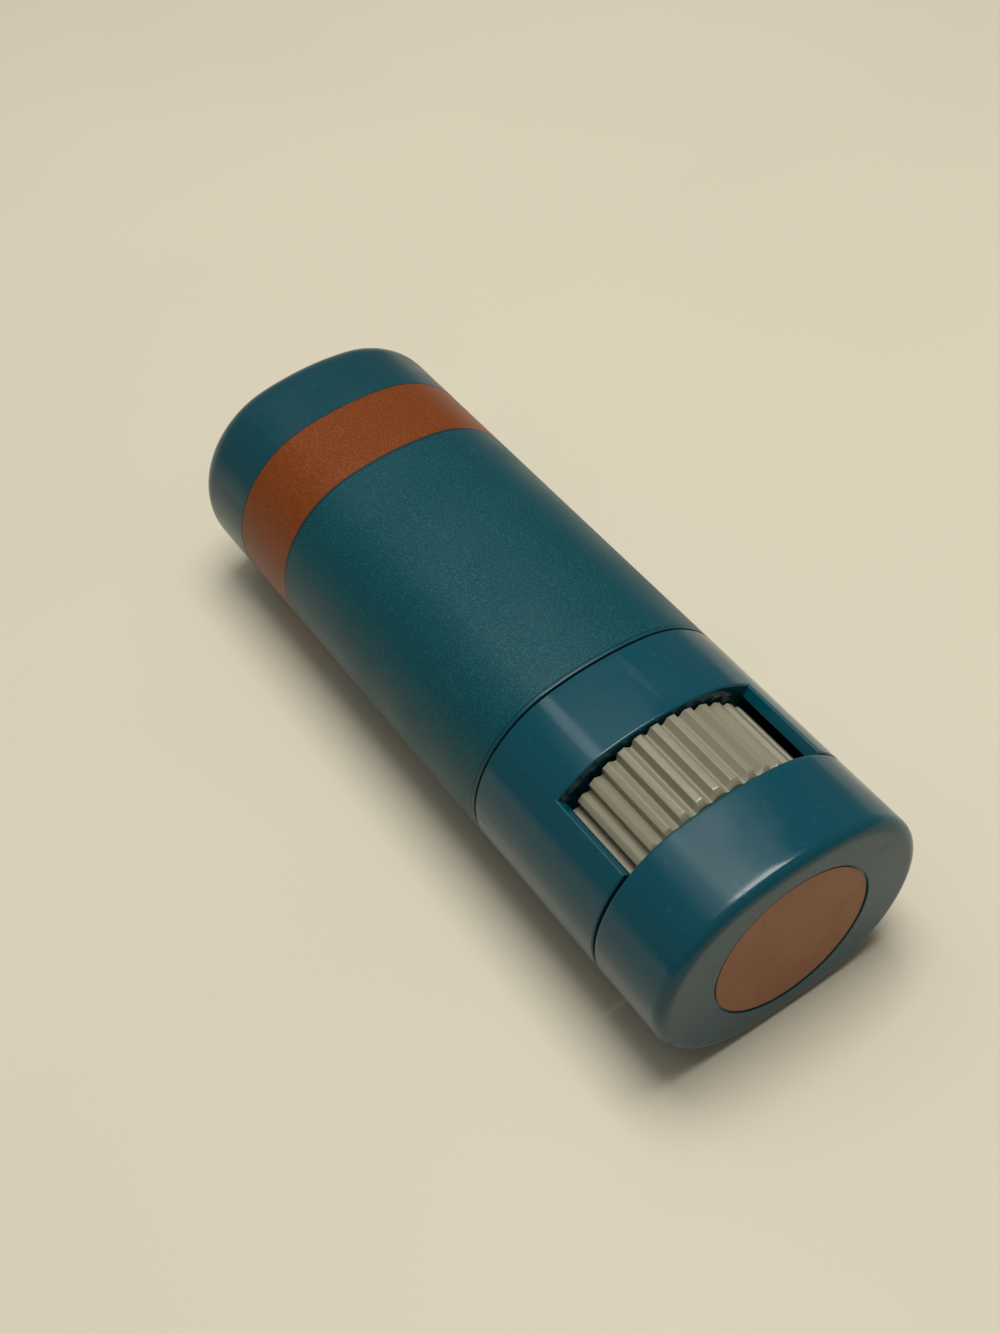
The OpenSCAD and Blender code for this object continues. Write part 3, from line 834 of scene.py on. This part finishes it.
balmSizes = {
    "seat": 28.72, "skirtTop": 31.52, "skirt": 3.77, "side": 2.95, "top": 71.0, "dome": 5.5,
    "domeSteps": 14, "domeHold": 0.4, "flat": 8.05, "flatInner": 8.6,
    "chimneyRadius": 4.42, "chimneyTop": 33.02, "boreRadius": 3.6, "boreTop": 62.18,
}


def makeBalm(size):
    bm = bmesh.new()
    seat, skirt, side, flat = size["seat"], size["skirt"], size["side"], size["flat"]
    shoulder, steps = size["top"] - size["dome"], size["domeSteps"]
    profile = [(oval["innerInset"], seat), (skirt, seat), (skirt, size["skirtTop"])]
    profile += [(side, size["skirtTop"]), (side, shoulder - size["domeHold"])]
    for i in range(steps + 1):
        a = math.radians(90 * i / steps)
        rise = size["dome"] * math.sin(a)
        profile.append((flat - (flat - side) * math.cos(a), shoulder + rise))
    profile.append((size["flatInner"], size["top"]))
    sweepOval(bm, profile)
    low, high = openLoops(bm)
    bmesh.ops.contextual_create(bm, geom=high)
    # the room for the carriage's chimney and for the spindle
    chimney, bore = size["chimneyRadius"], size["boreRadius"]
    low = ringsTo(bm, low, [
        (chimney, seat), (chimney, size["chimneyTop"]), (bore, size["chimneyTop"]),
        (bore, size["boreTop"]),
    ])
    bmesh.ops.contextual_create(bm, geom=low)
    finishPiece("balmBar", bm, balmMaterial, "balm_carriage", ["balm"])


makeBalm(balmSizes)
print("barrel and balm made")


# the cap and its label

capSizes = {
    "bottom": 25.8, "top": 76.0, "wall": 1.3, "edge": 3.0, "rim": 0.1, "mouth": 0.3,
    "flatHold": 0.4, "wallHold": 0.5, "innerHold": 0.3,
    "wrapLow": 26.17, "wrapHigh": 66.83, "wrapSeat": 0.16, "wrapRound": 0.03,
    "bandRound": (0.012, 0.015),
    "groove": 28.8, "grooveDepth": 0.25, "grooveHalf": 0.9, "grooveFlat": 0.6,
}


def makeCap(size):
    bm = bmesh.new()
    wall, edge, rim = size["wall"], size["edge"], size["rim"]
    top, bottom, mouth = size["top"], size["bottom"], size["mouth"]
    wrapLow, wrapHigh, wrapSeat = size["wrapLow"], size["wrapHigh"], size["wrapSeat"]
    wrapRound, (bandIn, bandUp) = size["wrapRound"], size["bandRound"]
    groove, half, flat = size["groove"], size["grooveHalf"], size["grooveFlat"]
    deep = wall - size["grooveDepth"]
    profile = [(oval["innerInset"], top), (edge + size["flatHold"], top)]
    profile += arc((edge, top - edge), edge, 90, 180, steps=16)
    profile += [(0, top - edge - size["wallHold"]), (0, wrapHigh + bandUp), (bandIn, wrapHigh)]
    profile += [(wrapSeat, wrapHigh), (wrapSeat, wrapLow)]
    profile += [(wrapRound, wrapLow), (0, wrapLow - wrapRound)]
    profile += arc((rim, bottom + rim), rim, 180, 270, steps=4)
    profile += [(wall - mouth, bottom), (wall, bottom + mouth)]
    profile += [(wall, groove - half), (deep, groove - flat)]
    profile += [(deep, groove + flat), (wall, groove + half)]
    profile += [(wall, top - edge - size["innerHold"])]
    profile += arc((edge, top - edge), edge - wall, 180, 90, steps=8)
    profile += [(oval["innerInset"], top - wall)]
    sweepOval(bm, profile)
    for loop in openLoops(bm):
        bmesh.ops.contextual_create(bm, geom=loop)
    finishPiece("capShell", bm, tealCapMaterial, "cap", ["cap"])


wrapSizes = {"low": 26.2, "high": 66.8, "face": 0.01, "back": 0.14, "edge": 0.03, "slit": 0.4}


def makeCapWrap(size):
    # a sleeve with a butt joint along the rounded end away from the camera
    bm = bmesh.new()
    face, back, edge, low, high = (size[k] for k in ("face", "back", "edge", "low", "high"))
    profile = [
        (face, low + edge), (face, high - edge), (face + edge, high), (back, high), (back, low),
        (face + edge, low),
    ]
    sweepOval(bm, profile, closed=True, side=-1, slit=size["slit"])
    finishPiece("capWrap", bm, wrapMaterial, "cap", ["cap_wrap"])


makeCap(capSizes)
makeCapWrap(wrapSizes)
print("cap and wrap made")


# inner pieces that keep their CAD shape

for node, material in (("spindle", spindleMaterial), ("carriage", carriageMaterial)):
    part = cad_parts[node]
    part.data.materials.clear()
    part.data.materials.append(material)


# floor and light

floorLook = {
    "colour": (0.60, 0.555, 0.455), "roughness": 0.6, "specular": 0.3, "size": 3.0,
    "cloudSize": 14.0, "cloudDetail": 3.0, "cloudFrom": 0.35, "cloudTo": 0.65, "cloudLift": 1.03,
}


def makeFloor(look):
    bm = bmesh.new()
    bmesh.ops.create_grid(bm, x_segments=1, y_segments=1, size=look["size"])
    floor = objectFrom("floor", bm)
    material, tree, shader, place = startMaterial(
        "paleFloor", look["colour"], look["roughness"], look["specular"]
    )
    cloud = addNode(
        tree, "ShaderNodeTexNoise", Vector=place, Scale=look["cloudSize"],
        Detail=look["cloudDetail"],
    )
    lighter = tuple(c * look["cloudLift"] for c in look["colour"])
    mask = rangeOf(tree, cloud.outputs[0], look["cloudFrom"], look["cloudTo"])
    clouded = mixOf(tree, mask, opaque(look["colour"]), opaque(lighter))
    tree.links.new(clouded, shader.inputs["Base Color"])
    floor.data.materials.append(material)


lamps = [
    {"name": "keyLamp", "place": (0.01, -0.05, 0.50), "aim": (0, 0, 0),
     "size": (0.25, 0.25), "power": 2.1, "colour": (1.0, 0.97, 0.90)},
    {"name": "ceilingLamp", "place": (0.12, 0.03, 0.62), "aim": (0.12, 0.03, 0),
     "size": (0.5, 0.66), "power": 0.85, "colour": (0.96, 1.0, 0.95)},
    {"name": "glintLamp", "place": (0.26, 0.06, 0.53), "aim": (-0.034, 0.005, 0.02),
     "size": (0.10, 0.14), "power": 0.09, "colour": (0.90, 1.0, 0.94)},
]


def makeLamps():
    for lamp in lamps:
        data = bpy.data.lights.new(lamp["name"], "AREA")
        data.shape = "RECTANGLE"
        data.size, data.size_y = lamp["size"]
        data.energy = lamp["power"]
        data.color = lamp["colour"]
        item = bpy.data.objects.new(lamp["name"], data)
        item.location = lamp["place"]
        towards = Vector(lamp["aim"]) - item.location
        item.rotation_euler = towards.to_track_quat("-Z", "Y").to_euler()
        bpy.context.scene.collection.objects.link(item)


studio = {"colour": (1.0, 0.95, 0.84), "light": 0.20, "backdrop": 0.62}


def makeStudio(look):
    # a dim world that shows its pale backdrop only to the camera
    world = bpy.data.worlds.new("studio")
    world.use_nodes = True
    tree = world.node_tree
    sky = tree.nodes["Background"]
    sky.inputs["Color"].default_value = opaque(look["colour"])
    seen = tree.nodes.new("ShaderNodeLightPath").outputs["Is Camera Ray"]
    strength = rangeOf(tree, seen, 0, 1, look["light"], look["backdrop"])
    tree.links.new(strength, sky.inputs["Strength"])
    bpy.context.scene.world = world


makeFloor(floorLook)
makeLamps()
makeStudio(studio)
bpy.context.scene.view_settings.view_transform = "Standard"
print("floor and lamps placed")
